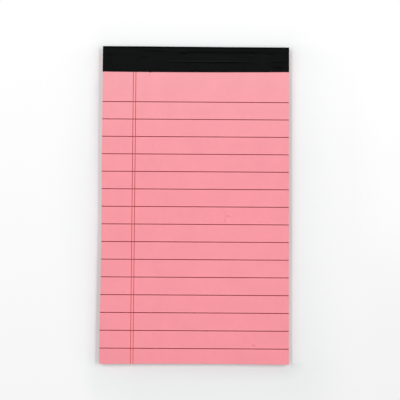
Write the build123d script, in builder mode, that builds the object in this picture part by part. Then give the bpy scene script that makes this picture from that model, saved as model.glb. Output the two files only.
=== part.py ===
from build123d import *
import os

os.makedirs("parts", exist_ok=True)

# A pocket memo pad, lying on its back, in millimetres. X runs across the pad, the bound head
# is at +Y, the open tail at -Y, and the top sheet faces +Z. The origin is under the middle of
# the pad, on the surface that it lies on.

# Pad outline, binding included
pad_width = 75.0
pad_length = 127.0

# Sheets and backing board, all cut in one go
sheet_count = 50
sheet_thickness = 0.1
cut_edge_chamfer = 0.025
board_thickness = 0.8

# Binding: glue on the sheets' heads, and a tape folded over them
glue_thickness = 0.25
tape_thickness = 0.2
fold_land = 0.05
front_strip_depth = 10.4
back_strip_depth = 9.2

# Print on the top sheet, placed from the head edge and from the left edge
ink_thickness = 0.02
rule_width = 0.3
rule_pitch = 7.03
first_rule_from_head = 22.5
space_below_rules = 5.0
margin_line_count = 2
margin_line_width = 0.24
margin_from_left = 12.34
margin_spacing = 1.02

# Heights, from the surface up
board_bottom = tape_thickness
block_bottom = board_bottom + board_thickness
block_top = block_bottom + sheet_count * sheet_thickness

# Places along the pad, from tail to head
tail_y = -pad_length / 2
head_y = pad_length / 2
glue_head_y = head_y - tape_thickness
sheet_head_y = glue_head_y - glue_thickness
sheet_length = sheet_head_y - tail_y
front_strip_y = head_y - front_strip_depth
back_strip_y = head_y - back_strip_depth

# The tape bends round the glue with this inner radius, at the front and at the back
fold_radius = glue_thickness - fold_land

# The chamfer on a sheet's edges, which leaves at least a fifth of the edge upright
edge_chamfer = min(cut_edge_chamfer, 0.4 * sheet_thickness)

# The print stays on the flat of the top sheet, inside its cut edges
print_width = pad_width - 2 * edge_chamfer
print_tail_y = tail_y + edge_chamfer
first_rule_y = head_y - first_rule_from_head
rule_room = first_rule_y - tail_y - space_below_rules
rule_count = int(rule_room / rule_pitch) + 1
rule_places = [(0, first_rule_y - row * rule_pitch) for row in range(rule_count)]
margin_x = -pad_width / 2 + margin_from_left
margin_length = front_strip_y - print_tail_y
margin_places = [(margin_x + line * margin_spacing, front_strip_y) for line in range(margin_line_count)]


# One sheet, with its three cut edges eased, which leaves a fine line between two sheets
with BuildPart() as sheet:
    with BuildSketch(Plane.XY.offset(block_bottom)):
        with Locations((0, sheet_head_y)):
            Rectangle(pad_width, sheet_length, align=(Align.CENTER, Align.MAX))
    extrude(amount=sheet_thickness)
    outline_edges = sheet.faces().filter_by(Axis.Z).edges()
    open_edges = outline_edges - outline_edges.group_by(Axis.Y)[-1]
    chamfer(open_edges, edge_chamfer)

# The sheets lie face to face as one block
with BuildPart() as page_block:
    with Locations(*[(0, 0, leaf * sheet_thickness) for leaf in range(sheet_count)]):
        add(sheet.part)

page_block.part.label = "page_block"
export_step(page_block.part, "parts/page_block.step")


# Stiff board under the sheets, cut flush with them
with BuildPart() as backing_board:
    with BuildSketch(Plane.XY.offset(board_bottom)):
        with Locations((0, sheet_head_y)):
            Rectangle(pad_width, sheet_length, align=(Align.CENTER, Align.MAX))
    extrude(amount=board_thickness)

backing_board.part.label = "backing_board"
export_step(backing_board.part, "parts/backing_board.step")


# Glue over the heads of the sheets and the board, rounded where the tape bends round it
with BuildPart() as head_glue:
    with BuildSketch(Plane.YZ):
        with BuildLine():
            glue_outline = FilletPolyline(
                (sheet_head_y, block_top),
                (glue_head_y, block_top),
                (glue_head_y, board_bottom),
                (sheet_head_y, board_bottom),
                radius=fold_radius,
            )
            Line(glue_outline @ 0, glue_outline @ 1)
        make_face()
    extrude(amount=pad_width / 2, both=True)

head_glue.part.label = "head_glue"
export_step(head_glue.part, "parts/head_glue.step")


# Tape from the top sheet, over the head and under the board, one strip of even thickness
with BuildPart() as binding_tape:
    with BuildSketch(Plane.YZ):
        with BuildLine():
            FilletPolyline(
                (front_strip_y, block_top),
                (glue_head_y, block_top),
                (glue_head_y, board_bottom),
                (back_strip_y, board_bottom),
                radius=fold_radius,
            )
            offset(amount=tape_thickness, side=Side.LEFT)
        make_face()
    extrude(amount=pad_width / 2, both=True)

binding_tape.part.label = "binding_tape"
export_step(binding_tape.part, "parts/binding_tape.step")


# Writing rules from edge to edge, broken where the margin lines cross them
with BuildPart() as ruled_lines:
    with BuildSketch(Plane.XY.offset(block_top)):
        with Locations(*rule_places):
            Rectangle(print_width, rule_width)
        with Locations(*margin_places):
            Rectangle(
                margin_line_width,
                margin_length,
                align=(Align.CENTER, Align.MAX),
                mode=Mode.SUBTRACT,
            )
    extrude(amount=ink_thickness)

ruled_lines.part.label = "ruled_lines"
export_step(ruled_lines.part, "parts/ruled_lines.step")


# Double margin line from the strip to the tail
with BuildPart() as margin_lines:
    with BuildSketch(Plane.XY.offset(block_top)):
        with Locations(*margin_places):
            Rectangle(margin_line_width, margin_length, align=(Align.CENTER, Align.MAX))
    extrude(amount=ink_thickness)

margin_lines.part.label = "margin_lines"
export_step(margin_lines.part, "parts/margin_lines.step")
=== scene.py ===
import math

import bpy
import numpy as np
from mathutils import Matrix, Vector


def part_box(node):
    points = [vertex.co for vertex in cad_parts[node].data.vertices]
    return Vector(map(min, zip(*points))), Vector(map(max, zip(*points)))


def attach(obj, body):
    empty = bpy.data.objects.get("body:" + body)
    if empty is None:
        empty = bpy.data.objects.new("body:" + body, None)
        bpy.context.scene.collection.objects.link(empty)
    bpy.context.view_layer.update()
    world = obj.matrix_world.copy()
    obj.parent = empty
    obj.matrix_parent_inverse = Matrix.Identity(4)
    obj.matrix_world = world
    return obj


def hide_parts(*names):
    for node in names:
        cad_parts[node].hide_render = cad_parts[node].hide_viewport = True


# A small pink ruled pad lying on its back. X runs across the page, the bound head is at +Y,
# the open tail at -Y, and the top sheet faces +Z. All lengths are in metres.
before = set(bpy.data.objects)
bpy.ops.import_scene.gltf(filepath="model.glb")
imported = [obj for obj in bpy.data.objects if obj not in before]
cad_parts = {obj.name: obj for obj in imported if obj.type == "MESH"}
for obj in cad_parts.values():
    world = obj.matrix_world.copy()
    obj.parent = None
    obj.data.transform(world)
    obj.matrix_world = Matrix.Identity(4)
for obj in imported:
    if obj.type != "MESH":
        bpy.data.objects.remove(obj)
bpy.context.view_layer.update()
mm = 0.001

# Sizes that the model's boxes don't hold
sheet_thickness = 0.1 * mm
fold_radius = 0.2 * mm
sheet_edge_ease = 0.018 * mm
sheet_gap = 0.003 * mm
board_edge_ease = 0.07 * mm
tape_edge_ease = 0.03 * mm

# How far the loose tail of the top sheet has risen, and how high the paper is cockled
tail_rise = 0.3 * mm
corner_rise = 0.12 * mm
cockle_height = 0.012 * mm

# How unevenly the stack is cut: its tail edge stands out at the corners, bows in between them
# and runs a little askew, its left side is hollow, and all its sides scatter
tail_reach = 0.08 * mm
tail_skew = 0.04 * mm
tail_bow = 0.25 * mm
left_hollow = 0.21 * mm
hollow_middle_y = -18 * mm
hollow_half_length = 32 * mm
cut_margin = 3 * mm
side_scatter = 0.02 * mm
tail_scatter = 0.03 * mm

# Ink: how deep it starts below the paper, how far it stands above it, and how much higher the
# margin lines stand than the rules that they cross
ink_sink = 0.002 * mm
ink_height = 0.008 * mm
ink_edge_ease = 0.002 * mm
margin_lift = 0.004 * mm
ink_inset = 1.5 * sheet_edge_ease

# Tape: how far it reaches past the sheets' sides, how much further its fold stands out on the
# left, and its front leg's edge, which bows, waves a little and has a nick
tape_overhang = 0.07 * mm
tape_head_reach = 0.1 * mm
head_reach_from_x = 12 * mm
head_reach_length = 30 * mm
edge_bow = (0.02 * mm, -0.12 * mm, -0.18 * mm)
edge_wave_height = 0.005 * mm
nick_from_left = 19.2 * mm
nick_depth = 0.34 * mm
nick_half_width = 0.2 * mm

# How finely the meshes are divided: (columns, rows) of each grid, and the steps of the tape
sheet_grid = (17, 25)
top_grid = (61, 91)
board_grid = (61, 101)
tape_columns = 201
front_steps, bend_steps, spine_steps, back_steps = 90, 9, 24, 30
bar_steps = 3

# Places that the pieces take from the CAD model
block_low, block_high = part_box("page_block")
board_low, board_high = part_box("backing_board")
tape_low, tape_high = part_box("binding_tape")
glue_head_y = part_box("head_glue")[1].y
left_x, right_x = block_low.x, block_high.x
tail_y, head_y = block_low.y, tape_high.y
sheet_head_y = block_high.y
front_strip_y = tape_low.y
tape_middle_z = (tape_low.z + tape_high.z) / 2
tape_points = [vertex.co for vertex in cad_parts["binding_tape"].data.vertices]
back_strip_y = min(point.y for point in tape_points if point.z < tape_middle_z)


# Meshes

def new_mesh_object(name, vertices, faces):
    """An object at the origin with this mesh, shaded flat."""
    mesh = bpy.data.meshes.new(name)
    mesh.from_pydata(vertices.tolist(), [], faces.tolist())
    mesh.update()
    piece = bpy.data.objects.new(name, mesh)
    bpy.context.scene.collection.objects.link(piece)
    return piece


def smooth_by_angle(piece, degrees):
    """Shade the piece smooth, with edges sharper than the angle kept sharp."""
    piece.data.shade_smooth()
    piece.data.set_sharp_from_angle(angle=math.radians(degrees))


def grid_rim(columns, rows):
    """The outer points of a grid in order, anticlockwise from above."""
    rim = [(i, 0) for i in range(columns)]
    rim += [(columns - 1, j) for j in range(1, rows)]
    rim += [(i, rows - 1) for i in range(columns - 2, -1, -1)]
    rim += [(0, j) for j in range(rows - 2, 0, -1)]
    return np.array([i * rows + j for i, j in rim])


def grid_faces(columns, rows):
    """Quads over a grid of points, facing up."""
    i, j = np.meshgrid(np.arange(columns - 1), np.arange(rows - 1), indexing="ij")
    a = (i * rows + j).ravel()
    return np.stack([a, a + rows, a + rows + 1, a + 1], axis=1)


def closed_shell(bottom, top, rims, columns, rows):
    """Faces and points of a closed plate: two grids joined round their edges through rims."""
    count = columns * rows
    edge = grid_rim(columns, rows)
    following = np.roll(np.arange(len(edge)), -1)
    rings = [edge]
    points = [bottom, top]
    start = 2 * count
    for rim in rims:
        rings.append(start + np.arange(len(edge)))
        points.append(rim)
        start += len(edge)
    rings.append(edge + count)
    faces = [grid_faces(columns, rows)[:, ::-1], grid_faces(columns, rows) + count]
    for lower, upper in zip(rings[:-1], rings[1:]):
        faces.append(np.stack([lower, lower[following], upper[following], upper], axis=1))
    return np.concatenate(points), np.concatenate(faces)


def plate(xs, ys, low, high, ease):
    """Points and faces of a closed plate over xs by ys, from low(x, y) to high(x, y)."""
    x, y = [part.ravel() for part in np.meshgrid(xs, ys, indexing="ij")]
    inner_x = np.clip(x, xs[0] + ease, xs[-1] - ease)
    inner_y = np.clip(y, ys[0] + ease, ys[-1] - ease)
    bottom = np.stack([inner_x, inner_y, low(inner_x, inner_y)], axis=1)
    top = np.stack([inner_x, inner_y, high(inner_x, inner_y)], axis=1)
    edge = grid_rim(len(xs), len(ys))
    edge_x, edge_y = x[edge], y[edge]
    lower = np.stack([edge_x, edge_y, low(edge_x, edge_y) + ease], axis=1)
    upper = np.stack([edge_x, edge_y, high(edge_x, edge_y) - ease], axis=1)
    return closed_shell(bottom, top, [lower, upper], len(xs), len(ys))


def joined(parts):
    """One array of points and one of faces from several of each."""
    points, faces, start = [], [], 0
    for part_points, part_faces in parts:
        points.append(part_points)
        faces.append(part_faces + start)
        start += len(part_points)
    return np.concatenate(points), np.concatenate(faces)


# The top sheet's surface

def loose_share(y):
    """0 under the strip, where the sheets are held, to 1 at the tail."""
    return np.clip((front_strip_y - y) / (front_strip_y - tail_y), 0, 1)


def sheet_rise(x, y):
    """How far the top sheet stands above a flat stack, growing towards the tail and its corners."""
    loose = loose_share(y)
    across = np.abs(x) / right_x
    cockle = np.sin(x / (9.1 * mm) + y / (17 * mm)) * np.sin(y / (13.7 * mm) - x / (31 * mm) + 0.7)
    risen = tail_rise * loose**2 + corner_rise * loose**4 * across**3
    return risen + cockle_height * loose * cockle


# A crinkle in the paper: creases that meet at one point, each (turn in degrees, length, depth),
# with a low ridge beside each. The top sheet's grid is finer within the crinkle's reach.
crinkle_centre = (12.95 * mm, -4.65 * mm)
crinkle_width = 0.24 * mm
crinkle_lead = 0.3 * mm
crinkle_reach = 3.8 * mm
crinkle_step = 0.105 * mm
ridge_offset = 2.4 * crinkle_width
ridge_width = 1.5 * crinkle_width
ridge_share = 0.45
crinkle_creases = (
    (-114, 3.3 * mm, 0.10 * mm),
    (-10, 2.6 * mm, 0.075 * mm),
    (133, 2.5 * mm, 0.055 * mm),
    (52, 1.5 * mm, 0.03 * mm),
    (-160, 1.4 * mm, 0.03 * mm),
)


def crinkle_depth(x, y):
    """Depth of the creases at a point of the top sheet, less than 0 on their ridges."""
    depth = np.zeros_like(x)
    for turn, length, deepest in crinkle_creases:
        along_x, along_y = math.cos(math.radians(turn)), math.sin(math.radians(turn))
        dx, dy = x - crinkle_centre[0], y - crinkle_centre[1]
        along = dx * along_x + dy * along_y
        aside = dx * along_y - dy * along_x
        fade = np.clip(1 - along / length, 0, 1) * np.clip(1 + along / crinkle_lead, 0, 1)
        valley = np.exp(-((aside / crinkle_width) ** 2))
        ridge = ridge_share * np.exp(-(((aside - ridge_offset) / ridge_width) ** 2))
        depth += deepest * fade * (valley - ridge)
    return depth


def top_surface(x, y):
    """Height of the top sheet's upper face."""
    return block_high.z + sheet_rise(x, y) - crinkle_depth(x, y)


def with_fine_stretch(even, centre, reach, step):
    """Grid lines that lie closer together around one place."""
    fine = np.arange(centre - reach, centre + reach + step / 2, step)
    coarse = even[(even < centre - reach) | (even > centre + reach)]
    return np.sort(np.concatenate([coarse, fine]))


def sheet_lines(columns, rows):
    """Even grid lines over a sheet, as xs and ys."""
    return np.linspace(left_x, right_x, columns), np.linspace(tail_y, sheet_head_y, rows)


top_xs, top_ys = [
    with_fine_stretch(even, centre, crinkle_reach, crinkle_step)
    for even, centre in zip(sheet_lines(*top_grid), crinkle_centre)
]


# Pieces

def cut_unevenly(points):
    """Points of the sheets, print or board, with the stack's outline as it is really cut."""
    x, y, z = points.T
    near_tail = np.clip(1 - (y - tail_y) / cut_margin, 0, 1)
    near_left = np.clip(1 - (x - left_x) / cut_margin, 0, 1)
    hollow = np.clip(1 - ((y - hollow_middle_y) / hollow_half_length) ** 2, 0, 1)
    moved_x = x + left_hollow * near_left * hollow
    across = x / right_x
    moved_y = y + near_tail * (tail_bow * (1 - across**2) - tail_reach + tail_skew * across)
    return np.stack([moved_x, moved_y, z], axis=1)


def make_sheets():
    """All the sheets, each a thin plate of its own, cut a little unevenly.

    The top sheet's rise is shared out as gaps between the sheets, some wide and most narrow.
    Sheets that lie near each other scatter alike, and the held heads scatter least.
    """
    chance = np.random.default_rng(11)
    count = round((block_high.z - block_low.z) / sheet_thickness)
    gaps = chance.gamma(0.35, 1.0, count)
    rises = np.cumsum(gaps) / gaps.sum()
    xs, ys = sheet_lines(*sheet_grid)
    drift = 0.0
    parts = []
    for index, rise in enumerate(rises):
        base = block_low.z + index * sheet_thickness
        is_top = index == count - 1

        def low(x, y):
            return base + rise * sheet_rise(x, y)

        def high(x, y):
            if is_top:
                return top_surface(x, y)
            return low(x, y) + sheet_thickness - sheet_gap

        if is_top:
            points, faces = plate(top_xs, top_ys, low, high, sheet_edge_ease)
        else:
            points, faces = plate(xs, ys, low, high, sheet_edge_ease)
            drift = 0.7 * drift + 0.3 * chance.normal(0, side_scatter)
            loose = 0.25 + 0.75 * loose_share(points[:, 1])
            points[:, 0] += (drift + chance.normal(0, side_scatter / 2)) * loose
            points[:, 1] += chance.normal(0, tail_scatter) * loose_share(points[:, 1])
        parts.append((cut_unevenly(points), faces))
    piece = new_mesh_object("page_sheets", *joined(parts))
    smooth_by_angle(piece, 30)
    return piece


def printed_bar(xs, ys):
    """A bar of ink that follows the top sheet."""

    def low(x, y):
        return top_surface(x, y) - ink_sink

    def high(x, y):
        return top_surface(x, y) + ink_height

    points, faces = plate(xs, ys, low, high, ink_edge_ease)
    return cut_unevenly(points), faces


def bar_spans(node, axis):
    """Low and high sides of a node's bars along one axis, from its points."""
    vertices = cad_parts[node].data.vertices
    places = sorted({round(vertex.co[axis], 6) for vertex in vertices})
    return list(zip(places[::2], places[1::2]))


def make_rules():
    """The writing rules, from side to side."""
    xs = np.concatenate([[left_x + ink_inset], top_xs[1:-1], [right_x - ink_inset]])
    parts = []
    for low_y, high_y in bar_spans("ruled_lines", 1):
        parts.append(printed_bar(xs, np.linspace(low_y, high_y, bar_steps)))
    return new_mesh_object("rule_print", *joined(parts))


def make_margin():
    """The two margin lines, from the strip to the tail, laid over the rules."""
    inner_ys = top_ys[(top_ys > tail_y + ink_inset) & (top_ys < front_strip_y)]
    ys = np.concatenate([[tail_y + ink_inset], inner_ys, [front_strip_y]])
    parts = []
    for low_x, high_x in bar_spans("margin_lines", 0):
        points, faces = printed_bar(np.linspace(low_x, high_x, bar_steps), ys)
        points[:, 2] += margin_lift
        parts.append((points, faces))
    return new_mesh_object("margin_print", *joined(parts))


def make_board():
    """The chipboard back, with its cut edges a little crushed."""
    xs, ys = sheet_lines(*board_grid)
    wave_height = 0.004 * mm

    def low(x, y):
        wave = np.sin(x / (5.3 * mm) + 1.1) * np.sin(y / (7.9 * mm))
        return board_low.z + wave_height * (1 + wave)

    def high(x, y):
        return np.full_like(x, board_high.z)

    points, faces = plate(xs, ys, low, high, board_edge_ease)
    piece = new_mesh_object("back_board", cut_unevenly(points), faces)
    smooth_by_angle(piece, 50)
    return piece


# Creases and small folds in the tape's front leg, raised or sunk by their height and shown darker
# or
# lighter as painted shade and painted highlight, in millimetres from the left edge and from the
# head:
# (from left, from head, half length, half width, height, share of the light that it keeps)
tape_creases_and_painted_shade = (
    (37.0, 6.42, 12.5, 0.25, -0.030, 0.14),
    (51.0, 6.32, 11.5, 0.25, -0.030, 0.14),
    (37.0, 5.98, 12.0, 0.20, 0.030, 2.10),
    (51.0, 5.88, 11.0, 0.20, 0.030, 2.30),
    (71.0, 6.12, 5.0, 0.25, -0.030, 0.30),
    (71.0, 5.72, 5.0, 0.22, 0.025, 1.35),
    (54.5, 5.55, 5.0, 0.20, -0.015, 0.65),
    (46.3, 6.60, 1.8, 0.35, -0.015, 0.50),
    (50.0, 2.35, 30.0, 0.50, 0.040, 0.50),
    (21.0, 1.70, 7.0, 0.35, -0.015, 0.60),
    (32.5, 2.85, 2.4, 0.32, -0.035, 0.20),
    (33.5, 3.35, 1.8, 0.22, 0.025, 1.80),
    (37.9, 3.15, 1.0, 0.22, 0.020, 1.60),
    (59.9, 3.30, 1.5, 0.24, 0.025, 1.80),
    (60.4, 2.75, 1.7, 0.26, -0.030, 0.35),
    (67.8, 2.95, 2.0, 0.28, -0.030, 0.35),
    (67.0, 3.45, 1.4, 0.20, 0.020, 1.40),
    (2.9, 3.20, 2.6, 0.28, -0.020, 0.45),
    (9.5, 2.20, 3.4, 0.26, 0.015, 1.30),
    (16.4, 4.15, 3.0, 0.28, -0.018, 0.55),
    (18.0, 3.65, 2.2, 0.22, 0.015, 1.30),
    (70.6, 8.30, 2.9, 0.55, -0.030, 0.35),
    (37.9, 9.55, 2.2, 0.30, -0.020, 0.50),
)


def tape_relief(x, from_head):
    """Creases and small folds that stand up from the tape's front leg."""
    from_left = x - left_x
    relief = np.zeros_like(x)
    for left, head, half_length, half_width, height, kept in tape_creases_and_painted_shade:
        along = (from_left - left * mm) / (half_length * mm)
        aside = (from_head - head * mm) / (half_width * mm)
        relief += height * mm * np.clip(1.6 - 1.6 * np.abs(along), 0, 1) * np.exp(-2 * aside**2)
    return relief


def bend_points(degrees, centre_y, centre_z):
    """Points of the tape's inner side round a bend, each with its outward direction."""
    points = []
    for angle in np.radians(degrees):
        out_y, out_z = math.cos(angle), math.sin(angle)
        points.append(("bend", centre_y + fold_radius * out_y, centre_z + fold_radius * out_z,
                       out_y, out_z))
    return points


def tape_path(top_z, bottom_z, bend_y):
    """The tape's inner side from its front edge to its back edge.

    Each point is (part, place, z, outward y, outward z), where the place is a share of the
    way to the bend on the two legs, and y itself on the bends and the spine.
    """
    spine_top, spine_bottom = top_z - fold_radius, bottom_z + fold_radius
    path = [("front", share, top_z, 0.0, 1.0) for share in np.linspace(0, 1, front_steps)]
    path += bend_points(np.linspace(90, 0, bend_steps)[1:], bend_y, spine_top)
    spine = np.linspace(spine_top, spine_bottom, spine_steps)[1:-1]
    path += [("bend", glue_head_y, z, 1.0, 0.0) for z in spine]
    path += bend_points(np.linspace(0, -90, bend_steps), bend_y, spine_bottom)
    path += [("back", share, bottom_z, 0.0, -1.0) for share in np.linspace(1, 0, back_steps)[1:]]
    return path


def make_tape():
    """The tape: a front leg, a fold over the head, and a back leg, of one even thickness."""
    thickness = tape_high.z - block_high.z
    bend_y = glue_head_y - fold_radius
    columns = np.linspace(left_x - tape_overhang, right_x + tape_overhang, tape_columns)
    across = columns / right_x
    bow = edge_bow[0] + edge_bow[1] * across + edge_bow[2] * across**2
    edge_wave = np.sin(columns / (2.3 * mm)) * np.sin(columns / (7.1 * mm) + 0.4)
    edge_wave = edge_wave_height * edge_wave
    nick = nick_depth * np.exp(-(((columns - left_x - nick_from_left) / nick_half_width) ** 2))
    front_edge = front_strip_y - bow + edge_wave - nick
    back_edge = back_strip_y + 0.5 * edge_wave
    bend_out = np.clip((head_reach_from_x - columns) / head_reach_length, 0, 1)
    bend_out = tape_head_reach * bend_out

    inner, outer = [], []
    for part, place, z, out_y, out_z in tape_path(block_high.z, board_low.z, bend_y):
        relief = np.zeros_like(columns)
        if part == "front":
            y = front_edge + (bend_y + bend_out - front_edge) * place
            relief = tape_relief(columns, head_y - y)
        elif part == "back":
            y = back_edge + (bend_y + bend_out - back_edge) * place
        else:
            y = place + bend_out
        inner.append(np.stack([columns, y, np.full_like(columns, z)], axis=1))
        reach = thickness + relief
        outer.append(np.stack([columns, y + out_y * reach, z + out_z * reach], axis=1))
    inner, outer = np.array(inner), np.array(outer)
    outer[0, :, 2] -= tape_edge_ease
    outer[0, :, 1] += tape_edge_ease * 0.4
    outer[-1, :, 2] += tape_edge_ease
    outside, inside = outer.reshape(-1, 3), inner.reshape(-1, 3)
    points, faces = closed_shell(outside, inside, [], len(outer), tape_columns)
    piece = new_mesh_object("head_tape", points, faces)
    smooth_by_angle(piece, 40)
    return piece


# Materials

class Shading:
    """A material's node tree, with short ways to add and join nodes."""

    def __init__(self, name):
        self.material = bpy.data.materials.new(name)
        self.material.use_nodes = True
        self.nodes = self.material.node_tree.nodes
        self.links = self.material.node_tree.links
        self.surface = self.nodes["Principled BSDF"]

    def feed(self, node, inputs):
        """Put plain values, or other nodes' outputs, on the node's own inputs."""
        for name, value in inputs.items():
            if isinstance(value, bpy.types.NodeSocket):
                self.links.new(value, node.inputs[name])
            else:
                node.inputs[name].default_value = value

    def node(self, kind, inputs=None, **settings):
        """A new node, with settings on it and values or outputs on its inputs."""
        made = self.nodes.new(kind)
        for name, value in settings.items():
            setattr(made, name, value)
        self.feed(made, inputs or {})
        return made

    def vector_math(self, operation, *values, output="Vector"):
        """What the operation makes of these vectors."""
        made = self.node("ShaderNodeVectorMath", dict(enumerate(values)), operation=operation)
        return made.outputs[output]

    def split(self, vector):
        """The vector's parts, by their names X, Y and Z."""
        return self.node("ShaderNodeSeparateXYZ", {"Vector": vector}).outputs

    def place(self, stretch=(1, 1, 1), offset=(0, 0, 0), turn=0.0, bend=0.0):
        """The point on the object in millimetres, moved, bent, turned about Z, then stretched."""
        at = self.node("ShaderNodeTexCoord").outputs["Object"]
        millimetres = self.vector_math("MULTIPLY", at, (1 / mm, 1 / mm, 1 / mm))
        moved = self.vector_math("SUBTRACT", millimetres, offset)
        if bend:
            wander = self.node("ShaderNodeTexNoise",
                               {"Vector": moved, "Scale": 0.25, "Detail": 2.0}).outputs["Color"]
            moved = self.vector_math("MULTIPLY_ADD", wander, (bend, bend, bend), moved)
        turned = self.node("ShaderNodeVectorRotate",
                           {"Vector": moved, "Angle": math.radians(-turn)},
                           rotation_type="Z_AXIS").outputs[0]
        return self.vector_math("MULTIPLY", turned, stretch)

    def noise(self, vector, scale, detail=3.0, roughness=0.55):
        """Noise from 0 to 1, with scale in cycles a millimetre."""
        inputs = {"Vector": vector, "Scale": scale, "Detail": detail, "Roughness": roughness}
        return self.node("ShaderNodeTexNoise", inputs).outputs["Fac"]

    def fit(self, value, low, high, new_low, new_high, smooth=False):
        """The value's range from low to high, fitted to a new range and held at its ends."""
        inputs = {"Value": value, "From Min": low, "From Max": high,
                  "To Min": new_low, "To Max": new_high}
        kind = "SMOOTHSTEP" if smooth else "LINEAR"
        return self.node("ShaderNodeMapRange", inputs, interpolation_type=kind).outputs["Result"]

    def math(self, operation, first, second=0.0):
        """What the operation makes of one or two numbers."""
        return self.node("ShaderNodeMath", {0: first, 1: second}, operation=operation).outputs[0]

    def product(self, first, *others):
        """All these values multiplied."""
        for other in others:
            first = self.math("MULTIPLY", first, other)
        return first

    def fades(self, *spans):
        """Several fitted ranges multiplied, each span being what fit takes."""
        return self.product(*[self.fit(*span) for span in spans])

    def blend(self, share, first, second, kind="MIX"):
        """Colours first and second mixed by share."""
        first, second = [colour if isinstance(colour, bpy.types.NodeSocket) else (*colour, 1.0)
                         for colour in (first, second)]
        made = self.node("ShaderNodeMix", data_type="RGBA", blend_type=kind)
        self.feed(made, {0: share, 6: first, 7: second})
        return made.outputs[2]

    def brighten(self, colour, factor, depth=1.0):
        """The colour times a factor that varies, with green and blue at this power of it."""
        cool = factor if depth == 1.0 else self.math("POWER", factor, depth)
        grey = self.node("ShaderNodeCombineColor", {"Red": factor, "Green": cool, "Blue": cool})
        return self.blend(1.0, colour, grey.outputs[0], "MULTIPLY")

    def spot(self, centre, size, turn=0.0):
        """1 in the middle of an oval mark, falling to 0 at its edge, with sizes in millimetres."""
        stretch = (1 / size[0], 1 / size[1], 0)
        length = self.vector_math("LENGTH", self.place(stretch, (*centre, 0), turn), output="Value")
        return self.fit(length, 0.2, 1.0, 1.0, 0.0, smooth=True)

    def upward(self):
        """1 on faces that look up or down, 0 on upright ones."""
        normal = self.node("ShaderNodeNewGeometry").outputs["True Normal"]
        flat = self.math("ABSOLUTE", self.split(normal)["Z"])
        return self.fit(flat, 0.5, 0.8, 0.0, 1.0)

    def bump(self, height, distance, under=None):
        """A bump of this height in metres, on top of another bump if one is given."""
        inputs = {"Height": height, "Distance": distance, "Strength": 1.0}
        if under is not None:
            inputs["Normal"] = under
        return self.node("ShaderNodeBump", inputs).outputs["Normal"]

    def sees_backdrop(self):
        """1 where the camera looks, straight on or by way of a shiny or clear surface, else 0."""
        path = self.node("ShaderNodeLightPath").outputs
        either = self.math("MAXIMUM", path["Is Camera Ray"], path["Is Glossy Ray"])
        return self.math("MAXIMUM", either, path["Is Transmission Ray"])

    def finish(self, colour, roughness, specular, normal=None):
        """Join the colour and normal to the surface, with plain numbers on its own sockets."""
        self.feed(self.surface, {"Base Color": colour, "Roughness": roughness,
                                 "Specular IOR Level": specular})
        if normal is not None:
            self.feed(self.surface, {"Normal": normal})
        return self.material


backdrop_white = 0.97
pink = (0.943, 0.308, 0.356)
# Painted light: a paler pink that the top sheet is blended towards, most near the head
painted_lit_pink = (0.982, 0.396, 0.439)
pink_edge = (0.85, 0.35, 0.39)
rule_ink = (0.21, 0.003, 0.003)
margin_ink = (0.65, 0.067, 0.05)
margin_ink_at_head = (0.50, 0.050, 0.035)
board_grey = (0.40, 0.36, 0.31)
board_cut_grey = (0.37, 0.33, 0.28)
tape_black = (0.0048, 0.0054, 0.0051)
glue_white = (0.74, 0.71, 0.62)
table_white = (1, 1, 1)
# Painted tint: near the pad the table loses a little red, against pink light bounced off the pad
table_tint_against_bounce = (0.95, 1, 1)

# Marks on the top sheet, in millimetres: painted shade and painted highlight along a crinkle's
# creases and round a small pit, and a dark speck with a paler spot beside it: (x, y, half length,
# half width, turn in degrees, share of the light that it keeps)
paper_painted_shade_and_specks = (
    (12.90, -4.70, 0.80, 0.75, 0, 0.95),
    (14.00, -4.90, 1.4, 0.50, -10, 0.97),
    (11.95, -6.55, 1.4, 0.55, 90, 0.95),
    (11.90, -3.30, 0.80, 0.60, 0, 0.965),
    (13.60, -6.40, 1.6, 1.2, 0, 1.02),
    (23.60, -56.05, 1.3, 0.60, -22, 0.905),
    (23.20, -56.90, 0.90, 0.35, 0, 1.045),
    (-18.60, 52.00, 0.45, 0.40, 0, 0.90),
    (-18.80, 52.75, 0.45, 0.35, 0, 1.08),
    (-18.05, 52.20, 0.40, 0.40, 0, 1.04),
)


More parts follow.
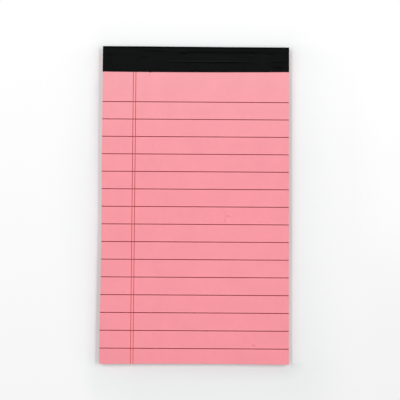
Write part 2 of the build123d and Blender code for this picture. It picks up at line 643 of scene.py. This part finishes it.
def paper_material():
    """Uncoated pink paper: faint clouds and fibres, painted light and shade on the faces, fine
    layers on the cut edges.
    """
    shading = Shading("pink_paper")
    clouds = shading.noise(shading.place(), 0.11, 3)
    mottle = shading.noise(shading.place(), 0.9, 4, 0.6)
    face_tone = shading.math("ADD", shading.fit(clouds, 0.3, 0.7, 0.98, 1.02),
                             shading.fit(mottle, 0.25, 0.75, -0.014, 0.014))
    along = shading.split(shading.place())["Y"]
    # Painted light: the face pales from pink towards the head, as if more light falls there
    painted_light_towards_head = shading.math("POWER", shading.fit(along, -5, 68, 0.0, 1.08), 2.0)
    painted_light_towards_head = shading.math("ADD", painted_light_towards_head, shading.fit(along, -62, -32, 0.03, 0.17))
    face = shading.brighten(shading.blend(painted_light_towards_head, pink, painted_lit_pink), face_tone)
    # Painted shade and painted highlight at the crinkle and the pit, and a dark speck
    for x, y, half_length, half_width, turn, kept in paper_painted_shade_and_specks:
        mark = shading.spot((x, y), (half_length, half_width), turn)
        face = shading.brighten(face, shading.fit(mark, 0, 1, 1.0, kept), 2.5)

    layers = shading.noise(shading.place((0.02, 0.02, 9.0)), 1.0, 2, 0.7)
    bundles = shading.noise(shading.place((0.03, 0.03, 1.6)), 1.0, 2)
    nicks = shading.noise(shading.place((2.5, 2.5, 5.0)), 1.0, 3)
    side_tone = shading.fades((layers, 0.25, 0.75, 0.8, 1.1), (bundles, 0.3, 0.7, 0.86, 1.08),
                              (nicks, 0.3, 0.7, 0.95, 1.04))
    side = shading.brighten(pink_edge, side_tone)
    colour = shading.blend(shading.upward(), side, face)

    fibres = shading.noise(shading.place((7, 7, 7)), 1.0, 4, 0.65)
    swells = shading.noise(shading.place(), 0.8, 2)
    normal = shading.bump(swells, 0.010 * mm)
    normal = shading.bump(fibres, 0.006 * mm, under=normal)
    return shading.finish(colour, 0.88, 0.25, normal)


def ink_material(name, colour, colour_at_head, uneven):
    """Printed line: ink that lies a little thicker in some places than in others."""
    shading = Shading(name)
    along = shading.split(shading.place())["Y"]
    colour = shading.blend(shading.fit(along, -45, 10, 0.0, 1.0), colour, colour_at_head)
    flow = shading.noise(shading.place(), 0.7, 3)
    grain = shading.noise(shading.place(), 9.0, 2)
    tone = shading.math("ADD", shading.fit(flow, 0.3, 0.7, 1 - uneven, 1 + uneven),
                        shading.fit(grain, 0.3, 0.7, -uneven, uneven))
    fibres = shading.noise(shading.place((7, 7, 7)), 1.0, 3)
    normal = shading.bump(fibres, 0.004 * mm)
    return shading.finish(shading.brighten(colour, tone), 0.8, 0.05, normal)


def board_material():
    """Grey chipboard: flecks and short fibres of pulp, coarser layers on its cut edges."""
    shading = Shading("grey_chipboard")
    clouds = shading.noise(shading.place(), 0.06, 4)
    pulp = shading.noise(shading.place((2.2, 2.2, 2.2)), 1.0, 5, 0.7)
    tone = shading.fades((clouds, 0.3, 0.7, 0.90, 1.08), (pulp, 0.3, 0.7, 0.82, 1.15))
    face = shading.brighten(board_grey, tone)
    for turn, seed in ((12, 0.0), (57, 31.0), (101, 57.0), (152, 83.0)):
        at = shading.place((0.5, 4.2, 4.2), (seed, seed, seed), turn, 1.8)
        dark_fibre = shading.noise(at, 1.0, 2)
        face = shading.brighten(face, shading.fit(dark_fibre, 0.61, 0.71, 1.0, 0.58))
        at = shading.place((0.6, 4.8, 4.8), (-seed, 9 + seed, 0), turn + 22, 1.8)
        pale_fibre = shading.noise(at, 1.0, 2)
        face = shading.brighten(face, shading.fit(pale_fibre, 0.62, 0.73, 1.0, 1.40))
    specks = shading.noise(shading.place((1.4, 1.4, 1.4), (5, 3, 1)), 1.0, 1)
    face = shading.brighten(face, shading.fit(specks, 0.69, 0.76, 1.0, 0.45))
    plies = shading.noise(shading.place((0.3, 0.3, 7.0)), 1.0, 3, 0.7)
    cut = shading.brighten(board_cut_grey, shading.fit(plies, 0.3, 0.7, 0.75, 1.15))
    colour = shading.blend(shading.upward(), cut, face)
    normal = shading.bump(pulp, 0.03 * mm)
    return shading.finish(colour, 0.92, 0.2, normal)


def tape_material():
    """Black binding paper: dull, with long faint streaks across the pad, a fine grain, and painted
    shade and highlight along its creases and at its fold.
    """
    shading = Shading("black_tape")
    streaks = shading.noise(shading.place((0.09, 2.2, 2.2)), 1.0, 3)
    clouds = shading.noise(shading.place((0.12, 0.25, 0.25)), 1.0, 3)
    tone = shading.fades((streaks, 0.3, 0.7, 0.8, 1.2), (clouds, 0.3, 0.7, 0.88, 1.12))
    place = shading.split(shading.place())
    on_front = shading.fit(place["Z"], tape_middle_z / mm, tape_high.z / mm - 0.5, 0.0, 1.0)
    # Painted shade and painted highlight along the front leg's creases, by the share of the light
    # that each keeps
    for left, head, half_length, half_width, height, kept in tape_creases_and_painted_shade:
        centre = (left_x / mm + left, head_y / mm - head)
        mark = shading.spot(centre, (half_length * 1.2, half_width * 2))
        mark = shading.product(mark, on_front)
        tone = shading.product(tone, shading.fit(mark, 0, 1, 1.0, kept))
    # Painted shade: the tape darkens over its last millimetre where it turns over the head
    rim = shading.fit(place["Y"], head_y / mm - 1.0, head_y / mm - 0.4, 1.0, 0.2)
    colour = shading.brighten(tape_black, shading.product(tone, rim))
    grain = shading.noise(shading.place((5, 5, 5)), 1.0, 4, 0.65)
    normal = shading.bump(streaks, 0.008 * mm)
    normal = shading.bump(grain, 0.010 * mm, under=normal)
    return shading.finish(colour, 0.6, 0.02, normal)


def glue_material():
    """Dried padding glue: a cloudy off-white film with brush marks."""
    shading = Shading("padding_glue")
    cloud = shading.noise(shading.place((1, 1, 0.5)), 0.8, 3)
    colour = shading.brighten(glue_white, shading.fit(cloud, 0.3, 0.7, 0.85, 1.08))
    strokes = shading.noise(shading.place((4, 4, 0.6)), 1.0, 3)
    return shading.finish(colour, 0.42, 0.45, shading.bump(strokes, 0.015 * mm))


# The table. Its tone, with painted shade and painted light round the pad, depends on how far a
# place is clear of the pad, how far it is aside from the pad's middle line, and where it lies
# across and along the pad, all in millimetres.

def painted_side_shade(shading, aside, across, along):
    """Painted shade: how much darker the table is made close beside the pad's two long sides."""
    left_tail = shading.fades((aside, 39.7, 40.6, 1.0, 0.0), (along, -25, -5, 0.07, 0.0),
                              (along, -60, -38, 0.0, 1.0))
    left_head = shading.fades((aside, 38.6, 39.6, 0.0, 1.0), (aside, 39.7, 43.5, 1.0, 0.0),
                              (along, 5, 45, 0.0, 0.09))
    left = shading.math("ADD", left_tail, left_head)
    right = shading.fades((aside, 39, 41, 1.0, 0.0), (along, -32, -12, 0.0, 0.08))
    return shading.fades((across, -1, 1, left, right), (aside, 36, 37.5, 0.0, 1.0),
                         (along, 48, 56, 1.0, 0.2), (along, -66, -62, 0.0, 1.0))


def painted_tail_light_and_shade(shading, clear, across, along):
    """Painted light right below the tail, lightening its shadow, and painted shade a little further
    out.
    """
    further = shading.fit(across, -30, 10, -0.01, -0.07)
    return shading.fades((clear, 1.0, 2.6, 0.06, further), (clear, 3.0, 7.5, 1.0, 0.0),
                         (along, -64, -63, 1.0, 0.0))


def table_tone_with_painted_shade(shading, clear, aside, across, along):
    """The table's tone: painted shade close round the pad and towards the tail, painted light by
    the head and at the lower left.
    """
    by_head = shading.fades((along, 20, 52, 0.0, 1.0), (along, 60, 66, 1.0, 0.0),
                            (clear, 0.5, 4, 0.0, 1.0))
    low_left = shading.fades((along, -66, -60, 1.0, 0.0), (across, -42, -22, 1.0, 0.0))
    paler = shading.math("MAXIMUM", by_head, low_left)
    change = shading.math("SUBTRACT", painted_tail_light_and_shade(shading, clear, across, along),
                          painted_side_shade(shading, aside, across, along))
    tone = shading.fades((clear, 0, 30, 0.928, 0.96), (along, -75, 70, 0.985, 1.03),
                         (paler, 0, 1, 1.0, 1.04))
    return shading.product(tone, shading.math("ADD", change, 1.0))


def backdrop_share(shading, clear, across, along):
    """0 on the table near the pad, growing to 1 where the plain backdrop takes its place."""
    held_back = shading.fades((along, -90, -20, 9.0, 0.0), (across, -44, -20, 0.0, 1.0))
    from_left = shading.fades((across, -45, -39, 1.0, 0.0), (along, -60, 0, 12.0, 6.0))
    brought_on = shading.math("ADD", shading.fit(along, 60, 67, 0.0, 15.0), from_left)
    reach = shading.math("ADD", shading.math("SUBTRACT", clear, held_back), brought_on)
    return shading.fit(reach, 2, 30, 0.0, 1.0, smooth=True)


def backdrop_level(shading, clear, across, along):
    """How bright the backdrop is: darker towards the tail near the pad, and plain far off."""
    low_right = shading.fades((along, 20, 60, 0.026, 0.0), (across, 40, 75, 0.0, 1.0))
    far_right = shading.fades((across, 64, 76, 0.0, 0.035), (along, -35, -5, 0.0, 1.0),
                              (along, 40, 75, 1.0, 0.3))
    near_white = shading.math("SUBTRACT", shading.fit(along, -75, 60, 0.92, 1.0), low_right)
    near_white = shading.math("ADD", near_white, far_right)
    return shading.fit(clear, 50, 150, near_white, backdrop_white)


def floor_material():
    """White table, lit by the lamps with painted shade and light near the pad, and plain white far
    off.
    """
    shading = Shading("white_table")
    at = shading.place()
    from_middle = shading.vector_math("ABSOLUTE", at)
    pad_half = (right_x / mm, head_y / mm, 100)
    beyond = shading.vector_math("SUBTRACT", from_middle, pad_half)
    beyond = shading.vector_math("MAXIMUM", beyond, (0, 0, 0))
    clear = shading.vector_math("LENGTH", beyond, output="Value")
    aside = shading.split(from_middle)["X"]
    place = shading.split(at)
    across, along = place["X"], place["Y"]
    # Painted tint near the pad, taking out the pink light that the pad's sides bounce onto the
    # table
    colour = shading.blend(shading.fit(clear, 0, 25, 0.0, 1.0), table_tint_against_bounce, table_white)
    tone = table_tone_with_painted_shade(shading, clear, aside, across, along)
    shading.finish(shading.brighten(colour, tone), 0.85, 0.1)
    share = shading.product(backdrop_share(shading, clear, across, along),
                            shading.sees_backdrop())
    level = backdrop_level(shading, clear, across, along)
    glow = shading.node("ShaderNodeEmission", {"Color": (1, 1, 1, 1), "Strength": level})
    mixed = shading.node("ShaderNodeMixShader", {0: share, 1: shading.surface.outputs[0],
                                                 2: glow.outputs[0]})
    shading.feed(shading.nodes["Material Output"], {"Surface": mixed.outputs[0]})
    return shading.material


def clothe(piece, material):
    """Give the piece this one material."""
    piece.data.materials.clear()
    piece.data.materials.append(material)


sheets = make_sheets()
clothe(sheets, paper_material())
rules = make_rules()
clothe(rules, ink_material("rule_ink", rule_ink, rule_ink, 0.12))
margin = make_margin()
clothe(margin, ink_material("margin_ink", margin_ink, margin_ink_at_head, 0.08))
board = make_board()
clothe(board, board_material())
tape = make_tape()
clothe(tape, tape_material())
clothe(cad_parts["head_glue"], glue_material())

for piece, node, slot in (
    (sheets, "page_block", "sheets"),
    (rules, "ruled_lines", "rule_ink"),
    (margin, "margin_lines", "margin_ink"),
    (board, "backing_board", "board"),
    (tape, "binding_tape", "tape"),
):
    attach(piece, "root")
    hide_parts(node)


# Surroundings

table_half = 6.0
lamp_height = 0.42

# Lamps that hang level: (name, place over the table, size, watts)
lamps = (
    ("strip_lamp_right", (0.109, 0.0), (0.02, 0.16), 0.415),
    ("strip_lamp_left", (-0.087, 0.0), (0.02, 0.16), 0.415),
    ("soft_lamp_right", (0.25, 0.0), (0.24, 0.16), 0.32),
    ("soft_lamp_left", (-0.23, 0.0), (0.24, 0.16), 0.32),
    ("soft_lamp_head", (0.0, 0.12), (0.30, 0.16), 0.16),
)
overhead_light = 0.20
level_light = 0.42

# The camera: its turns in degrees, and where it has the middle of the top sheet
camera_turns = (("Z", -0.364), ("Y", 0.087), ("X", -3.55))
sheet_in_view = Vector((-1.990, -1.536, -399.672)) * mm


def make_floor():
    """A wide table top at the height that the pad rests on, with the origin in its middle."""
    corners = [(x * table_half, y * table_half, 0) for x, y in ((-1, -1), (1, -1), (1, 1), (-1, 1))]
    points = np.array(corners, float)
    floor = new_mesh_object("table_top", points, np.array([[0, 1, 2, 3]]))
    clothe(floor, floor_material())


def make_lamp(name, place, size, watts):
    """A flat lamp that hangs level over the table."""
    light = bpy.data.lights.new(name, "AREA")
    light.shape = "RECTANGLE"
    light.size, light.size_y = size
    light.energy = watts
    lamp = bpy.data.objects.new(name, light)
    lamp.location = (*place, lamp_height)
    bpy.context.scene.collection.objects.link(lamp)


def make_world():
    """Soft light from all round, stronger from low down, seen by the camera as white."""
    world = bpy.data.worlds.new("white_surround")
    bpy.context.scene.world = world
    world.use_nodes = True
    nodes, links = world.node_tree.nodes, world.node_tree.links
    path = nodes.new("ShaderNodeLightPath").outputs
    seen = path["Is Camera Ray"]
    for other in ("Is Glossy Ray", "Is Transmission Ray"):
        either = nodes.new("ShaderNodeMath")
        either.operation = "MAXIMUM"
        links.new(seen, either.inputs[0])
        links.new(path[other], either.inputs[1])
        seen = either.outputs[0]
    direction = nodes.new("ShaderNodeSeparateXYZ")
    links.new(nodes.new("ShaderNodeTexCoord").outputs["Generated"], direction.inputs["Vector"])
    fill = nodes.new("ShaderNodeMapRange")
    fill.inputs["To Min"].default_value = level_light
    fill.inputs["To Max"].default_value = overhead_light
    links.new(direction.outputs["Z"], fill.inputs["Value"])
    strength = nodes.new("ShaderNodeMapRange")
    strength.inputs["To Max"].default_value = backdrop_white
    links.new(fill.outputs["Result"], strength.inputs["To Min"])
    links.new(seen, strength.inputs["Value"])
    nodes["Background"].inputs["Color"].default_value = (1, 1, 1, 1)
    links.new(strength.outputs["Result"], nodes["Background"].inputs["Strength"])


def make_camera():
    """The photo's camera, above the pad and turned by small angles that its edges give."""
    turn = Matrix.Identity(3)
    for axis, degrees in camera_turns:
        turn = turn @ Matrix.Rotation(math.radians(degrees), 3, axis)
    facing = turn.transposed()
    camera_data = bpy.data.cameras.new("photo_camera")
    camera_data.lens = 90
    camera_data.sensor_width = 36
    camera_data.clip_start = 0.01
    camera = bpy.data.objects.new("photo_camera", camera_data)
    at = Vector((0, 0, block_high.z)) - facing @ sheet_in_view
    camera.matrix_world = Matrix.Translation(at) @ facing.to_4x4()
    bpy.context.scene.collection.objects.link(camera)
    bpy.context.scene.camera = camera


make_floor()
for lamp in lamps:
    make_lamp(*lamp)
make_world()
make_camera()
bpy.context.scene.view_settings.view_transform = "Standard"
